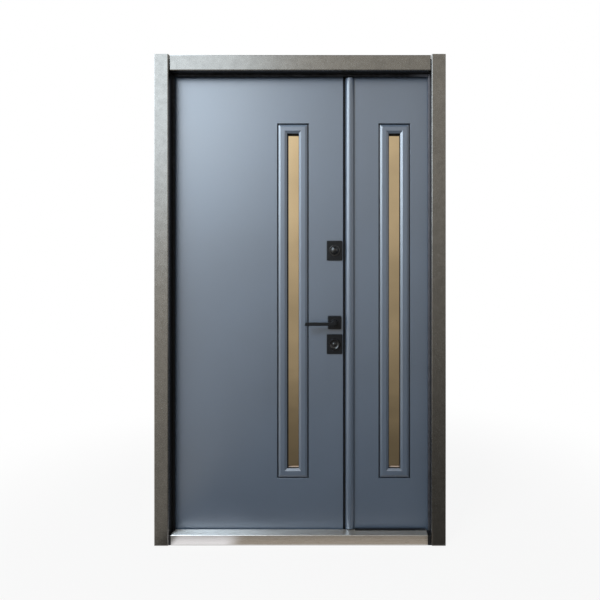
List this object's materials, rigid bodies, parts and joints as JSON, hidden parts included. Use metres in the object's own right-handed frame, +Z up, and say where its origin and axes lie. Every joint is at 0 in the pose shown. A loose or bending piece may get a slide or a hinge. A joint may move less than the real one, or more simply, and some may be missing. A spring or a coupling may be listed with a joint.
{
  "type": "leaf-and-a-half entrance door set",
  "caption": "Steel entrance door set with a wide and a narrow leaf, tall slim windows in milled mouldings, a black lever handle and locks, folded metal casing and a stainless sill.",
  "frame": {"origin": "middle of the sill's underside, in the plane that the sill's flat seat lies in", "axes": "+X to the right seen from outside, +Y into the house, +Z up"},
  "size_m": [1.217, 0.159, 2.05],
  "materials": {
    "leaf_paint": "satin powder coat",
    "frame_paint": "satin black",
    "casing_metal": "metallic grey, satin",
    "stainless": "brushed",
    "seal_rubber": "matt",
    "bronze_glass": "bronze reflective",
    "spacer_metal": "dark anodised",
    "black_metal": "satin black"
  },
  "bodies": {
    "frame": {"left_jamb": "frame_paint", "right_jamb": "frame_paint", "head_jamb": "frame_paint", "left_casing": "casing_metal", "right_casing": "casing_metal", "head_casing": "casing_metal", "sill_beam": "frame_paint", "sill_cover": "stainless", "frame_seals": "seal_rubber", "main_hinge_posts": "black_metal", "side_hinge_posts": "black_metal"},
    "main_leaf": {"main_leaf_core": "leaf_paint", "main_leaf_outer_panel": "leaf_paint", "main_leaf_inner_panel": "leaf_paint", "main_window_outer_moulding": "leaf_paint", "main_window_inner_moulding": "leaf_paint", "main_window_outer_pane": "bronze_glass", "main_window_inner_pane": "bronze_glass", "main_window_spacer": "spacer_metal", "main_window_gaskets": "seal_rubber", "main_hinge_sleeves": "black_metal", "upper_lock_plate": "black_metal", "upper_lock_guard": "black_metal", "lower_lock_plate": "black_metal", "lower_lock_guard": "black_metal", "outer_rose": "black_metal", "inner_rose": "black_metal", "inner_lock_plates": "black_metal", "lock_forends": "stainless"},
    "side_leaf": {"side_leaf_core": "leaf_paint", "side_leaf_outer_panel": "leaf_paint", "side_leaf_inner_panel": "leaf_paint", "side_window_outer_moulding": "leaf_paint", "side_window_inner_moulding": "leaf_paint", "side_window_outer_pane": "bronze_glass", "side_window_inner_pane": "bronze_glass", "side_window_spacer": "spacer_metal", "side_window_gaskets": "seal_rubber", "side_hinge_sleeves": "black_metal", "meeting_strip": "leaf_paint", "strike_plates": "stainless"},
    "handle": {"outer_lever": "black_metal", "inner_lever": "black_metal", "spindle": "stainless"}
  },
  "joints": [
    {"name": "main_leaf_hinge", "type": "hinge", "parent": "frame", "child": "main_leaf", "pos_m": [-0.565, 0.056, 1], "axis": [0, 0, 1], "range_deg": [0, 100]},
    {"name": "side_leaf_hinge", "type": "hinge", "parent": "frame", "child": "side_leaf", "pos_m": [0.565, 0.056, 1], "axis": [0, 0, -1], "range_deg": [0, 100]},
    {"name": "handle_turn", "type": "hinge", "parent": "main_leaf", "child": "handle", "pos_m": [0.1415, 0.021, 0.927], "axis": [0, -1, 0], "range_deg": [0, 40], "stiffness_Nm_per_rad": 2, "springref_deg": -17.19}
  ]
}
